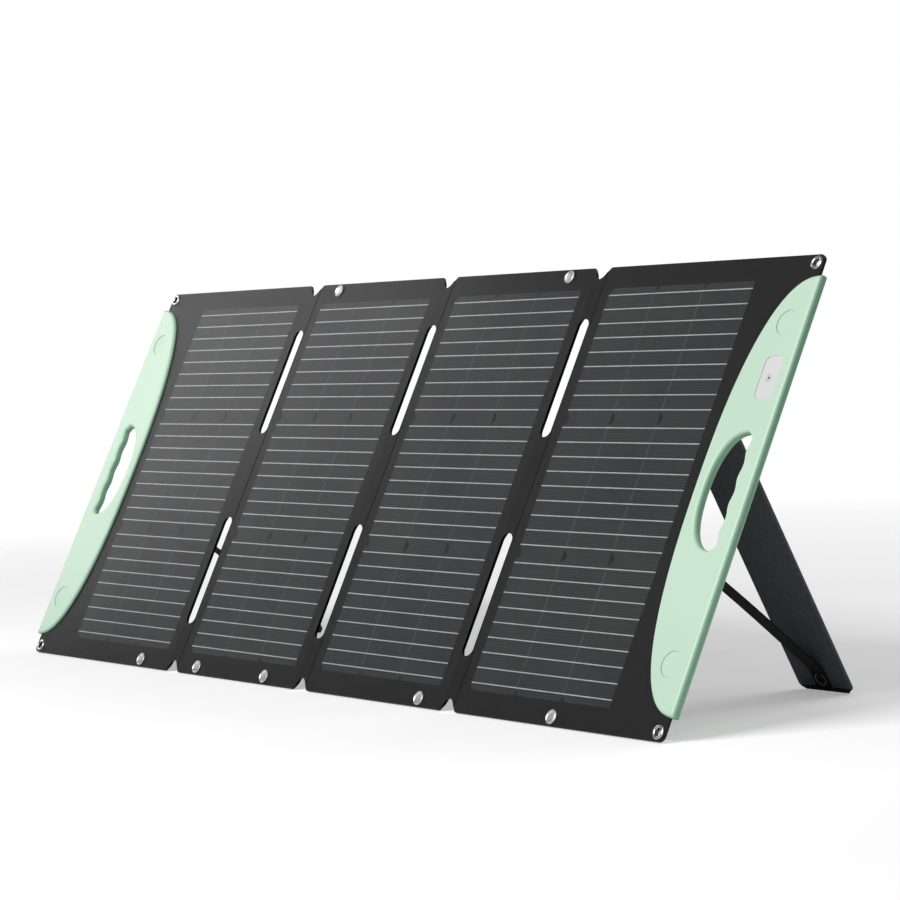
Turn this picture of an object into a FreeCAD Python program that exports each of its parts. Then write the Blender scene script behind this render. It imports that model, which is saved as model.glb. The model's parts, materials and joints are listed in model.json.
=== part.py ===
"""Four-leaf folding solar panel on two kickstand flaps.

The panel is drawn lying flat and is then stood up as one rigid layout.
Flat frame: x along the panel from its centre, v up the slope from the bottom edge,
w out of the light-catching face, which is w = 0.  All lengths are millimetres.
Standing frame: +X along the panel, +Y behind it, +Z up, ground at z = 0.
"""
import FreeCAD, Part
import math
import os

os.makedirs("parts", exist_ok=True)

Vector = FreeCAD.Vector

# ---------------------------------------------------------------- driving dimensions
LEAN_DEG = 27.7            # panel leans back this far from vertical
ORIGIN_Y = 186.58          # half the depth of the footprint, so the origin is its centre

SHEET_W = 1375.0           # laminated sheet, overall
SHEET_H = 563.0
SHEET_CORNER_R = 8.0
FOLD_PITCH = 307.5         # centre to centre of neighbouring fold lines
FOLD_GAP = 20.0            # width of a fold strip, and of the slots beside it

FILM_T = 0.45              # clear front film with its encapsulant
RIBBON_T = 0.2
CELL_T = 0.2
BOARD_T = 1.95             # glass-fibre core board
COVER_T = 1.2              # woven back cover
SHEET_T = FILM_T + BOARD_T + COVER_T

CELL_W = 83.0              # half of a 166 mm cell
CELL_H = 166.0
CELL_GAP_X = 0.75
CELL_GAP_V = 4.05
CELL_CHAMFER = 6.5         # cut corners of the pseudo-square wafer, on one side only
COLUMNS = 3
ROWS = 3
RIBBONS_PER_CELL = 9
RIBBON_W = 1.2
INNER_BLOCK_X = 28.5       # centre fold to the nearest cell edge

SLOT_V = (67.5, 342.5)     # bottom ends of the lower and the upper slot
SLOT_L = 153.0
NOTCH_HALF_W = 18.5
NOTCH_DEPTH = 15.0
NOTCH_OVERRUN = 1.0        # how far the cut starts outside the sheet's edge
NOTCH_BLUNTNESS = 0.85     # below 1 the root is blunter than a cosine
NOTCH_STEPS = 16

FRONT_FOLD_CLEAR = 5.0     # gap between two leaves folded face to face
BACK_FOLD_CLEAR = 2.0      # gap between two leaves folded back to back

EYELET_INSET_X = 10.5
EYELET_INSET_V = 10.0
EYELET_R = 8.2
EYELET_BORE_R = 4.5
EYELET_TUBE_R = 5.3
EYELET_FLANGE_T = 0.9

STUD_CAP_R = 8.5
STUD_CAP_T = 1.6
STUD_POST_R = 2.5
STUD_WASHER_R = 6.5
STUD_WASHER_T = 0.8
STUD_INSET_V = 10.2
STUDS = {                  # x of each press stud from the panel's centre
    "leaf_1": {"bottom": [-393.0], "top": []},
    "leaf_2": {"bottom": [-248.5, -86.0], "top": [-248.5]},
    "leaf_3": {"bottom": [248.5], "top": [248.5]},
    "leaf_4": {"bottom": [497.5], "top": []},
}

HANDLE_OVERHANG = 8.0      # handle reaches this far beyond the sheet's end
HANDLE_HALF_H = 255.0
HANDLE_REACH = 89.5        # outer edge to the inner curve at mid height
HANDLE_EXPONENT = 2.4      # the inner curve is a superellipse
HANDLE_SHELL_T = 4.0
HANDLE_EDGE_R = 1.6
GRIP_HALF_H = 68.0         # finger hole
GRIP_OUTER = 26.0          # outer edge of the handle to the straight side of the hole
GRIP_INNER = 72.5          # outer edge of the handle to the curved side of the hole
GRIP_EXPONENT = 2.3
GRIP_WAVE = 1.3            # depth of the finger scallops
GRIP_FINGERS = 4
GRIP_LIP = 3.0             # wall that lines the hole where it passes the sheet
CAP_INSET = 29.5           # outer edge to the centre of the round caps
CAP_OFF_END = 57.0         # handle end to the centre of the round caps
CAP_POCKET_R = 15.0
CAP_R = 14.8
CAP_T = 1.2
CAP_RECESS = 0.8           # the caps sit this far below the handle's face
MAGNET_R = 10.0
MAGNET_T = 1.6
HANDLE_SCREWS = [(12.0, 215.0), (12.0, 100.0), (77.0, 95.0),
                 (12.0, -215.0), (12.0, -100.0), (77.0, -95.0)]
SCREW_R = 1.5
SCREW_HEAD_R = 3.0
SCREW_HEAD_T = 1.6
SCREW_LEN = 9.0

DIAL_INSET = 29.0          # outer edge to the centre of the alignment plate
DIAL_V_FROM_TOP = 149.0
DIAL_W = 26.5
DIAL_H = 52.0
DIAL_CORNER_R = 9.0
DIAL_PLATE_T = 1.2
DIAL_RECESS = 0.7
DIAL_RING_R = 4.8
DIAL_PIN_R = 1.2

STAND_X = 546.0            # centre of each kickstand flap from the panel's centre
STAND_HINGE_V = 394.0
STAND_AXIS_W = -7.4
STAND_W = 86.0
STAND_T = 3.6
STAND_DEG = 55.45          # angle between the flap and the panel
STAND_TOP_GAP = 2.0        # hinge axis to the flap's upper end
FOOT_R = 2.3
FOOT_L = 5.0
FOOT_CORNER_R = 8.0
HINGE_PATCH_H = 30.0
PATCH_T = 1.2
STRAP_W = 25.0
STRAP_T = 1.4
STRAP_FOOT_H = 16.0        # height of the strap's ring above the ground
STRAP_ANCHOR_V = 259.0
ANCHOR_H = 42.0
SNAP_R = 10.0
SNAP_T = 1.3
SNAP_POST_R = 2.0
STRAP_LIFT = 1.6           # the strap's end stands this far off the snap

BOX_X = 546.0              # junction box on the back of the outer leaf
BOX_V = 500.0
BOX_W = 92.0
BOX_H = 52.0
BOX_D = 14.0
BOX_WALL = 1.6
BOX_LID_T = 1.8
BOX_FLOOR_T = 1.4
SOCKET_R = 7.0
SOCKET_L = 18.0
SOCKET_BORE_R = 4.0
SOCKET_BORE_L = 14.0

# ---------------------------------------------------------------- derived dimensions
W_BOARD = -FILM_T
W_COVER = W_BOARD - BOARD_T
W_BACK = -SHEET_T
W_SPLIT = -SHEET_T / 2.0
HALF_W = SHEET_W / 2.0
MID_V = SHEET_H / 2.0
BLOCK_W = COLUMNS * CELL_W + (COLUMNS - 1) * CELL_GAP_X
BLOCK_H = ROWS * CELL_H + (ROWS - 1) * CELL_GAP_V
BLOCK_V = (SHEET_H - BLOCK_H) / 2.0
RIBBON_PITCH = CELL_H / RIBBONS_PER_CELL
OUTER_X = HALF_W + HANDLE_OVERHANG
HALF_GAP = FOLD_GAP / 2.0
FOLDS = {"fold_left": -FOLD_PITCH, "fold_centre": 0.0, "fold_right": FOLD_PITCH}
LEAVES = {
    "leaf_1": (-HALF_W, -FOLD_PITCH - HALF_GAP),
    "leaf_2": (-FOLD_PITCH + HALF_GAP, -HALF_GAP),
    "leaf_3": (HALF_GAP, FOLD_PITCH - HALF_GAP),
    "leaf_4": (FOLD_PITCH + HALF_GAP, HALF_W),
}
BLOCK_X = {
    "leaf_1": -INNER_BLOCK_X - FOLD_PITCH - BLOCK_W,
    "leaf_2": -INNER_BLOCK_X - BLOCK_W,
    "leaf_3": INNER_BLOCK_X,
    "leaf_4": INNER_BLOCK_X + FOLD_PITCH,
}
LEAN = math.radians(LEAN_DEG)
LIFT = SHEET_T * math.sin(LEAN)     # puts the sheet's lower back edge on the ground
FLAP = math.radians(STAND_DEG)
FLAP_FROM_VERTICAL = FLAP - LEAN
HINGE_Z = STAND_HINGE_V * math.cos(LEAN) + STAND_AXIS_W * math.sin(LEAN) + LIFT
STAND_L = (HINGE_Z - FOOT_R) / math.cos(FLAP_FROM_VERTICAL)


# ---------------------------------------------------------------- helpers
def block(x0, x1, v0, v1, w0, w1):
    """A box between two corners, given in any order."""
    low = Vector(min(x0, x1), min(v0, v1), min(w0, w1))
    return Part.makeBox(abs(x1 - x0), abs(v1 - v0), abs(w1 - w0), low)


def disc(x, v, w0, w1, radius):
    """A round pin or hole along w."""
    return Part.makeCylinder(radius, abs(w1 - w0), Vector(x, v, min(w0, w1)), Vector(0, 0, 1))


def rounded_block(x0, x1, v0, v1, w0, w1, radius):
    """A box with its four edges along w rounded."""
    shape = block(x0, x1, v0, v1, w0, w1)
    return shape.makeFillet(radius, edges_along(shape, Vector(0, 0, 1)))


def edges_along(shape, direction):
    """The straight edges parallel to a direction."""
    found = []
    for edge in shape.Edges:
        if isinstance(edge.Curve, Part.Line) and edge.Length > 1e-6:
            if edge.tangentAt(edge.FirstParameter).cross(direction).Length < 1e-6:
                found.append(edge)
    return found


def stadium(x, v0, v1, half_width, w0, w1):
    """A slot cutter along v with round ends."""
    body = block(x - half_width, x + half_width, v0 + half_width, v1 - half_width, w0, w1)
    ends = [disc(x, v0 + half_width, w0, w1, half_width), disc(x, v1 - half_width, w0, w1, half_width)]
    return body.fuse(ends).removeSplitter()


def prism(points, w0, w1):
    """A straight-sided plate between w0 and w1 from its outline."""
    wire = Part.makePolygon([Vector(x, v, min(w0, w1)) for x, v in points + points[:1]])
    return Part.Face(wire).extrude(Vector(0, 0, abs(w1 - w0)))


def group(solids):
    """Several separate solids kept in one node."""
    return Part.makeCompound(solids)


def stand_up(shape):
    """Flat frame to standing frame."""
    placed = shape.copy()
    placed.rotate(Vector(0, 0, 0), Vector(1, 0, 0), 90.0 - LEAN_DEG)
    placed.translate(Vector(0, -ORIGIN_Y, LIFT))
    return placed


nodes = {}


def keep(name, shape):
    """Stand a finished piece up and file it under its node name."""
    nodes[name] = stand_up(shape)


# ---------------------------------------------------------------- sheet outline
def notch(x, top):
    """Bell-shaped notch with soft shoulders where a fold line meets the top or bottom edge."""
    edge_v = SHEET_H if top else 0.0
    inward = -1.0 if top else 1.0
    floor_w = -SHEET_T - 1.0
    points = []
    for i in range(NOTCH_STEPS + 1):
        across = NOTCH_HALF_W * (2.0 * i / NOTCH_STEPS - 1.0)
        bell = (0.5 + 0.5 * math.cos(math.pi * across / NOTCH_HALF_W)) ** NOTCH_BLUNTNESS
        depth = (NOTCH_DEPTH + NOTCH_OVERRUN) * bell - NOTCH_OVERRUN
        points.append(Vector(x + across, edge_v + inward * depth, floor_w))
    curve = Part.BSplineCurve()
    curve.interpolate(points)
    closing = Part.LineSegment(points[-1], points[0])
    outline = Part.Face(Part.Wire([curve.toShape(), closing.toShape()]))
    return outline.extrude(Vector(0, 0, SHEET_T + 2.0))


def slots(x):
    """The two long slots on one fold line."""
    return [stadium(x, v, v + SLOT_L, HALF_GAP, -SHEET_T - 1.0, 1.0) for v in SLOT_V]


NOTCHES = [notch(x, top) for x in FOLDS.values() for top in (False, True)]


def side_of(leaf):
    """-1 for the left end leaf, +1 for the right end leaf, 0 for the inner leaves."""
    return {"leaf_1": -1, "leaf_4": 1}.get(leaf, 0)


def superellipse(reach, half_h, exponent, count):
    """Points (inward, up) round one quadrant-pair, from the lower end to the upper end."""
    points = []
    for i in range(count + 1):
        t = math.pi * (i / count - 0.5)
        inward = reach * abs(math.cos(t)) ** (2.0 / exponent)
        up = half_h * math.copysign(abs(math.sin(t)) ** (2.0 / exponent), t)
        points.append((inward, up))
    return points


def handle_x(side, inward):
    """x of a point a given distance in from the handle's outer edge."""
    return side * (OUTER_X - inward)


def curved_plate(side, curve_points, closing_points, w0, w1):
    """A plate closed by one smooth curve and a run of straight or wavy edges."""
    low = min(w0, w1)
    curve = [Vector(handle_x(side, d), MID_V + up, low) for d, up in curve_points]
    spline = Part.BSplineCurve()
    spline.interpolate(curve)
    closing = [Vector(handle_x(side, d), MID_V + up, low) for d, up in closing_points]
    closing = [curve[-1]] + closing + [curve[0]]
    if len(closing) > 4:
        wave = Part.BSplineCurve()
        wave.interpolate(closing[1:-1])
        edges = [Part.makeLine(closing[0], closing[1]), wave.toShape(),
                 Part.makeLine(closing[-2], closing[-1])]
    else:
        edges = [Part.makeLine(a, b) for a, b in zip(closing, closing[1:]) if a.distanceToPoint(b) > 1e-6]
    wire = Part.Wire([spline.toShape()] + edges)
    return Part.Face(wire).extrude(Vector(0, 0, abs(w1 - w0)))


def handle_plate(side, w0, w1):
    """The full D outline of a handle between two levels."""
    curve = superellipse(HANDLE_REACH, HANDLE_HALF_H, HANDLE_EXPONENT, 24)
    return curved_plate(side, curve, [], w0, w1)


def grip_cutter(side, w0, w1):
    """The finger hole: a curved inner side, and an outer side with finger scallops."""
    corner = 6.0
    curve = superellipse(GRIP_INNER - GRIP_OUTER - corner, GRIP_HALF_H, GRIP_EXPONENT, 16)
    curve = [(GRIP_OUTER + corner + d, up) for d, up in curve]
    wave_half = GRIP_HALF_H - corner
    count = 8 * GRIP_FINGERS
    wave = []
    for i in range(count + 1):
        up = wave_half * (1.0 - 2.0 * i / count)
        phase = 2.0 * math.pi * GRIP_FINGERS * i / count
        wave.append((GRIP_OUTER - GRIP_WAVE * math.cos(phase), up))
    return curved_plate(side, curve, wave, w0, w1)


def grip_clearance(side, w0, w1):
    """The larger hole in the sheet that the handle's lining passes through."""
    x_outer = handle_x(side, GRIP_OUTER - GRIP_WAVE - GRIP_LIP)
    x_inner = handle_x(side, GRIP_INNER + GRIP_LIP)
    half = GRIP_HALF_H + GRIP_LIP
    return rounded_block(x_outer, x_inner, MID_V - half, MID_V + half, w0, w1, 12.0)


def leaf_layer(leaf, w0, w1):
    """One layer of one leaf, with every cut-out that goes through the sheet."""
    x0, x1 = LEAVES[leaf]
    shape = block(x0, x1, 0.0, SHEET_H, w0, w1)
    side = side_of(leaf)
    if side:
        outer = [e for e in edges_along(shape, Vector(0, 0, 1))
                 if abs(abs(e.CenterOfMass.x) - HALF_W) < 1e-6]
        shape = shape.makeFillet(SHEET_CORNER_R, outer)
    cutters = list(NOTCHES)
    cutters += [disc(x, v, w0, w1, STUD_POST_R) for x, v in stud_places(leaf)]
    if side:
        cutters.append(grip_clearance(side, w0 - 1.0, w1 + 1.0))
        cutters += [disc(x, v, w0, w1, EYELET_TUBE_R) for x, v in eyelet_places(side)]
        cutters += [disc(x, v, w0, w1, SCREW_R) for x, v in screw_places(side)]
    return shape.cut(cutters).removeSplitter()


def stud_places(leaf):
    """Centres of a leaf's press studs."""
    bottom = [(x, STUD_INSET_V) for x in STUDS[leaf]["bottom"]]
    top = [(x, SHEET_H - STUD_INSET_V) for x in STUDS[leaf]["top"]]
    return bottom + top


def eyelet_places(side):
    """Centres of the two eyelets at one end of the panel."""
    x = side * (HALF_W - EYELET_INSET_X)
    return [(x, EYELET_INSET_V), (x, SHEET_H - EYELET_INSET_V)]


def screw_places(side):
    """Centres of one handle's screws."""
    return [(handle_x(side, inward), MID_V + up) for inward, up in HANDLE_SCREWS]


# ---------------------------------------------------------------- leaves
def cell_outline(x0, v0):
    """A half cell: corners cut on its left side only."""
    x1 = x0 + CELL_W
    v1 = v0 + CELL_H
    c = CELL_CHAMFER
    return [(x0 + c, v0), (x1, v0), (x1, v1), (x0 + c, v1), (x0, v1 - c), (x0, v0 + c)]


def cell_origins(leaf):
    """Lower left corner of every half cell on a leaf."""
    origins = []
    for row in range(ROWS):
        for column in range(COLUMNS):
            x0 = BLOCK_X[leaf] + column * (CELL_W + CELL_GAP_X)
            v0 = BLOCK_V + row * (CELL_H + CELL_GAP_V)
            origins.append((x0, v0))
    return origins


def ribbon_levels():
    """v of every bus ribbon on a leaf."""
    levels = []
    for row in range(ROWS):
        row_v = BLOCK_V + row * (CELL_H + CELL_GAP_V)
        levels += [row_v + (i + 0.5) * RIBBON_PITCH for i in range(RIBBONS_PER_CELL)]
    return levels


def make_leaf(leaf):
    """The laminate of one leaf: film, ribbons, cells, core board and back cover."""
    w_ribbon = -FILM_T + RIBBON_T
    x0 = BLOCK_X[leaf]
    x1 = x0 + BLOCK_W
    ribbons = [block(x0, x1, v - RIBBON_W / 2, v + RIBBON_W / 2, -FILM_T, w_ribbon)
               for v in ribbon_levels()]
    cells = [prism(cell_outline(x, v), -FILM_T - CELL_T, -FILM_T) for x, v in cell_origins(leaf)]
    keep("front_film_" + leaf, leaf_layer(leaf, -FILM_T, 0.0).cut(ribbons))
    keep("bus_ribbons_" + leaf, group(ribbons))
    keep("solar_cells_" + leaf, group(cells))
    keep("core_board_" + leaf, leaf_layer(leaf, W_COVER, W_BOARD).cut(cells))
    keep("back_cover_" + leaf, leaf_layer(leaf, W_BACK, W_COVER))


def make_fold_strips(fold):
    """The three flexible bridges that join two leaves across one fold line."""
    x = FOLDS[fold]
    strip = block(x - HALF_GAP, x + HALF_GAP, 0.0, SHEET_H, W_BACK, 0.0)
    strips = strip.cut(slots(x) + NOTCHES)
    keep(fold + "_strips", group(strips.Solids))


# ---------------------------------------------------------------- fittings on the sheet
def press_stud(x, v):
    """Domed cap, post through the sheet and washer behind."""
    cap = disc(x, v, 0.0, STUD_CAP_T, STUD_CAP_R)
    rim = [e for e in cap.Edges if abs(e.CenterOfMass.z - STUD_CAP_T) < 1e-6]
    cap = cap.makeFillet(STUD_CAP_T * 0.7, rim)
    post = disc(x, v, W_BACK, 0.0, STUD_POST_R)
    washer = disc(x, v, W_BACK - STUD_WASHER_T, W_BACK, STUD_WASHER_R)
    return cap.fuse([post, washer]).removeSplitter()


def eyelet(x, v):
    """Rolled metal eyelet: a tube with a flange on each face."""
    front = disc(x, v, 0.0, EYELET_FLANGE_T, EYELET_R)
    rim = [e for e in front.Edges if abs(e.CenterOfMass.z - EYELET_FLANGE_T) < 1e-6]
    front = front.makeFillet(EYELET_FLANGE_T * 0.6, rim)
    tube = disc(x, v, W_BACK, 0.0, EYELET_TUBE_R)
    back = disc(x, v, W_BACK - EYELET_FLANGE_T, W_BACK, EYELET_R)
    bore = disc(x, v, W_BACK - EYELET_FLANGE_T, EYELET_FLANGE_T, EYELET_BORE_R)
    return front.fuse([tube, back]).cut(bore).removeSplitter()


def make_fittings():
    """Press studs on every leaf, eyelets at the four corners."""
    for leaf in LEAVES:
        keep("press_studs_" + leaf, group([press_stud(x, v) for x, v in stud_places(leaf)]))
    for name, side in (("left", -1), ("right", 1)):
        keep("corner_eyelets_" + name, group([eyelet(x, v) for x, v in eyelet_places(side)]))


# ---------------------------------------------------------------- handles
def cap_places(side):
    """Centres of the two round caps on one handle."""
    x = handle_x(side, CAP_INSET)
    up = HANDLE_HALF_H - CAP_OFF_END
    return [(x, MID_V - up), (x, MID_V + up)]


def rim_strip(side, w0, w1):
    """The part of the handle's outline that stands beyond the end of the sheet."""
    beyond = block(side * HALF_W, side * (OUTER_X + 1.0), 0.0, SHEET_H, w0, w1)
    return handle_plate(side, w0, w1).common(beyond)


def front_edges(shape, level):
    """The edges of a plate that lie at one level."""
    return [e for e in shape.Edges
            if abs(e.BoundBox.ZMin - level) < 1e-4 and abs(e.BoundBox.ZMax - level) < 1e-4]


def handle_shell(side):
    """The front moulding of a handle, with the lining of its finger hole and its outer rim."""
    plate = handle_plate(side, 0.0, HANDLE_SHELL_T)
    plate = plate.cut(grip_cutter(side, 0.0, HANDLE_SHELL_T))
    plate = plate.makeFillet(HANDLE_EDGE_R, front_edges(plate, HANDLE_SHELL_T))
    lining = grip_clearance(side, W_SPLIT, 0.0).cut(grip_cutter(side, W_SPLIT, 0.0))
    return plate.fuse([rim_strip(side, W_SPLIT, 0.0), lining])


def make_handle(name, side):
    """Front and back shells, magnets under round caps, and screws from behind."""
    back_face = W_BACK - HANDLE_SHELL_T
    caps = cap_places(side)
    w_top = HANDLE_SHELL_T - CAP_RECESS
    w_cap = w_top - CAP_T
    w_magnet = w_cap - MAGNET_T
    screw_tip = back_face + SCREW_LEN
    screws = [disc(x, v, back_face, screw_tip, SCREW_R)
              .fuse(disc(x, v, back_face, back_face + SCREW_HEAD_T, SCREW_HEAD_R)).removeSplitter()
              for x, v in screw_places(side)]
    front_cuts = [disc(x, v, w_cap, HANDLE_SHELL_T, CAP_POCKET_R) for x, v in caps]
    front_cuts += [disc(x, v, w_magnet, w_cap, MAGNET_R) for x, v in caps]
    if side > 0:
        front_cuts.append(dial_pocket())
    moulding = handle_shell(side)
    front = moulding.cut(front_cuts + screws)
    back = moulding.mirror(Vector(0, 0, W_SPLIT), Vector(0, 0, 1)).cut(screws)
    keep("handle_front_shell_" + name, front.removeSplitter())
    keep("handle_back_shell_" + name, back.removeSplitter())
    keep("handle_caps_" + name, group([disc(x, v, w_cap, w_top, CAP_R) for x, v in caps]))
    keep("handle_magnets_" + name, group([disc(x, v, w_magnet, w_cap, MAGNET_R) for x, v in caps]))
    keep("handle_screws_" + name, group(screws))


def dial_plate_at(w0, w1):
    """The rounded outline of the alignment plate between two levels."""
    x = handle_x(1, DIAL_INSET)
    v = SHEET_H - DIAL_V_FROM_TOP
    return rounded_block(x - DIAL_W / 2, x + DIAL_W / 2, v - DIAL_H / 2, v + DIAL_H / 2,
                         w0, w1, DIAL_CORNER_R)


def dial_pocket():
    """Recess for the alignment plate in the right handle."""
    return dial_plate_at(HANDLE_SHELL_T - DIAL_RECESS - DIAL_PLATE_T, HANDLE_SHELL_T + 1.0)


def make_dial():
    """Sun-alignment plate with its sighting ring and pin."""
    x = handle_x(1, DIAL_INSET)
    v = SHEET_H - DIAL_V_FROM_TOP
    top = HANDLE_SHELL_T - DIAL_RECESS
    pocket = disc(x, v, top - 0.6, top, DIAL_RING_R)
    keep("dial_plate", dial_plate_at(top - DIAL_PLATE_T, top).cut(pocket))
    ring = disc(x, v, top - 0.6, top - 0.3, DIAL_RING_R)
    pin = disc(x, v, top - 0.3, top + 0.3, DIAL_PIN_R)
    keep("dial_sight", ring.fuse(pin).removeSplitter())


# ---------------------------------------------------------------- kickstands
def flap_frame(shape):
    """Turn a flap drawn flat against the back out to its standing angle."""
    placed = shape.copy()
    pivot = Vector(0, STAND_HINGE_V, STAND_AXIS_W)
    placed.rotate(pivot, Vector(1, 0, 0), STAND_DEG)
    return placed


def flap_point(down, toward_panel):
    """Flat-frame (v, w) of a point on the flap, from its hinge axis."""
    v = STAND_HINGE_V - down * math.cos(FLAP) - toward_panel * math.sin(FLAP)
    w = STAND_AXIS_W - down * math.sin(FLAP) + toward_panel * math.cos(FLAP)
    return v, w


def strap_between(x, start, end):
    """A flat strap between two (v, w) points."""
    dv = end[0] - start[0]
    dw = end[1] - start[1]
    length = math.hypot(dv, dw)
    strap = block(x - STRAP_W / 2, x + STRAP_W / 2, 0.0, length, -STRAP_T / 2, STRAP_T / 2)
    strap.rotate(Vector(0, 0, 0), Vector(1, 0, 0), math.degrees(math.atan2(dw, dv)))
    strap.translate(Vector(0, start[0], start[1]))
    return strap


def make_stand(name, side):
    """Flap with its rubber foot, fabric hinge patch, snap ring, strap and strap anchor."""
    x = side * STAND_X
    half = STAND_W / 2.0
    v_top = STAND_HINGE_V - STAND_TOP_GAP
    v_end = STAND_HINGE_V - STAND_L
    v_foot = v_end + FOOT_L
    w0 = STAND_AXIS_W - STAND_T / 2
    w1 = STAND_AXIS_W + STAND_T / 2
    snap_down = STAND_L - (STRAP_FOOT_H - FOOT_R) / math.cos(FLAP_FROM_VERTICAL)
    v_snap = STAND_HINGE_V - snap_down

    snap_hole = disc(x, v_snap, w0, w1, SNAP_POST_R)
    outline = rounded_block(x - half, x + half, v_end, v_top + FOOT_CORNER_R, w0, w1, FOOT_CORNER_R)
    board = outline.common(block(x - half, x + half, v_foot, v_top, w0, w1)).cut(snap_hole)
    foot = outline.common(block(x - half, x + half, v_end, v_foot, w0, w1))
    tread = Part.makeCylinder(FOOT_R, STAND_W - 2 * FOOT_CORNER_R,
                              Vector(x - half + FOOT_CORNER_R, v_end, STAND_AXIS_W), Vector(1, 0, 0))
    foot = foot.fuse(tread).removeSplitter()
    snap = disc(x, v_snap, w1, w1 + SNAP_T, SNAP_R).fuse(disc(x, v_snap, w0, w1, SNAP_POST_R))
    keep("stand_flap_" + name, flap_frame(board))
    keep("stand_foot_" + name, flap_frame(foot))
    keep("stand_snap_" + name, flap_frame(snap.removeSplitter()))

    patch = rounded_block(x - half, x + half, STAND_HINGE_V + 2.0, STAND_HINGE_V + 2.0 + HINGE_PATCH_H,
                          W_BACK - PATCH_T, W_BACK, 4.0)
    keep("stand_hinge_patch_" + name, patch)
    anchor = rounded_block(x - STRAP_W / 2 - 4.0, x + STRAP_W / 2 + 4.0, STRAP_ANCHOR_V - ANCHOR_H / 2,
                           STRAP_ANCHOR_V + ANCHOR_H / 2, W_BACK - PATCH_T, W_BACK, 3.0)
    keep("strap_anchor_" + name, anchor)
    low = flap_point(snap_down, STAND_T / 2 + SNAP_T + STRAP_LIFT)
    high = (STRAP_ANCHOR_V, W_BACK - PATCH_T - 1.0)
    keep("stand_strap_" + name, strap_between(x, low, high))


# ---------------------------------------------------------------- junction box
def make_junction_box():
    """Base tray, lid, bypass diodes on their terminals, outlet socket and lid screws."""
    x0 = BOX_X - BOX_W / 2
    x1 = BOX_X + BOX_W / 2
    v0 = BOX_V - BOX_H / 2
    v1 = BOX_V + BOX_H / 2
    w_lid = W_BACK - BOX_D + BOX_LID_T
    w_out = W_BACK - BOX_D
    tray = rounded_block(x0, x1, v0, v1, w_lid, W_BACK, 4.0)
    hollow = rounded_block(x0 + BOX_WALL, x1 - BOX_WALL, v0 + BOX_WALL, v1 - BOX_WALL,
                           w_lid, W_BACK - BOX_FLOOR_T, 3.0)
    corners = [(x, v) for x in (x0 + 5.5, x1 - 5.5) for v in (v0 + 5.5, v1 - 5.5)]
    bosses = [disc(x, v, w_lid, W_BACK - BOX_FLOOR_T, 3.2) for x, v in corners]
    screws = [disc(x, v, w_out, w_lid + 6.0, 1.2).fuse(disc(x, v, w_out, w_out + 1.0, 2.2))
              .removeSplitter() for x, v in corners]
    w_mid = (w_lid + W_BACK) / 2
    socket_bed = Part.makeCylinder(SOCKET_R / 2, BOX_WALL * 3, Vector(x0 - 1.0, BOX_V, w_mid), Vector(1, 0, 0))
    tray = tray.cut(hollow).fuse(bosses).cut(screws + [socket_bed]).removeSplitter()
    lid = rounded_block(x0, x1, v0, v1, w_out, w_lid, 4.0)
    lid = lid.makeFillet(1.2, front_edges(lid, w_out)).cut(screws)

    barrel_r = (BOX_D - BOX_LID_T) / 2 - 0.2
    barrel = Part.makeCylinder(barrel_r, SOCKET_L, Vector(x0 - SOCKET_L, BOX_V, w_mid), Vector(1, 0, 0))
    stem = Part.makeCylinder(SOCKET_R / 2, BOX_WALL + 1.0, Vector(x0, BOX_V, w_mid), Vector(1, 0, 0))
    bore = Part.makeCylinder(SOCKET_BORE_R, SOCKET_BORE_L, Vector(x0 - SOCKET_L, BOX_V, w_mid), Vector(1, 0, 0))
    keep("junction_box_base", tray)
    keep("junction_box_lid", lid)
    keep("output_socket", barrel.fuse(stem).cut(bore).removeSplitter())
    keep("junction_box_screws", group(screws))
    w_floor = W_BACK - BOX_FLOOR_T
    diodes = []
    for i in range(3):
        x = BOX_X + (i - 1) * 22.0
        bar = block(x - 8.0, x + 8.0, BOX_V - 12.0, BOX_V + 12.0, w_floor - 1.0, w_floor)
        body = Part.makeCylinder(2.6, 9.0, Vector(x, BOX_V - 4.5, w_floor - 3.4), Vector(0, 1, 0))
        diodes.append(bar.fuse(body).removeSplitter())
    keep("bypass_diodes", group(diodes))


# ---------------------------------------------------------------- build and write
for leaf_name in LEAVES:
    make_leaf(leaf_name)
for fold_name in FOLDS:
    make_fold_strips(fold_name)
make_fittings()
make_handle("left", -1)
make_handle("right", 1)
make_dial()
make_stand("left", -1)
make_stand("right", 1)
make_junction_box()

whole = FreeCAD.BoundBox()
for node_name, node_shape in nodes.items():
    node_shape.exportStep("parts/" + node_name + ".step")
    whole.add(node_shape.BoundBox)
    print(node_name, "valid", node_shape.isValid(), "solids", len(node_shape.Solids),
          "cm3", round(node_shape.Volume / 1000.0, 3))
print("nodes", len(nodes), "box", whole)
print("flap length", round(STAND_L, 2), "middle of depth", round((whole.YMin + whole.YMax) / 2, 3))
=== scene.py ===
"""Looks for the folding solar panel: materials, fabric, stitching, metal fittings and studio.

Pieces are drawn in the panel's own flat frame, in millimetres: x along the panel, v up its
slope from the bottom edge, w out of its front face.  The frame's axes are read from the CAD.
"""
import json
import math

import bmesh
import bpy
from mathutils import Matrix, Vector


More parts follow.
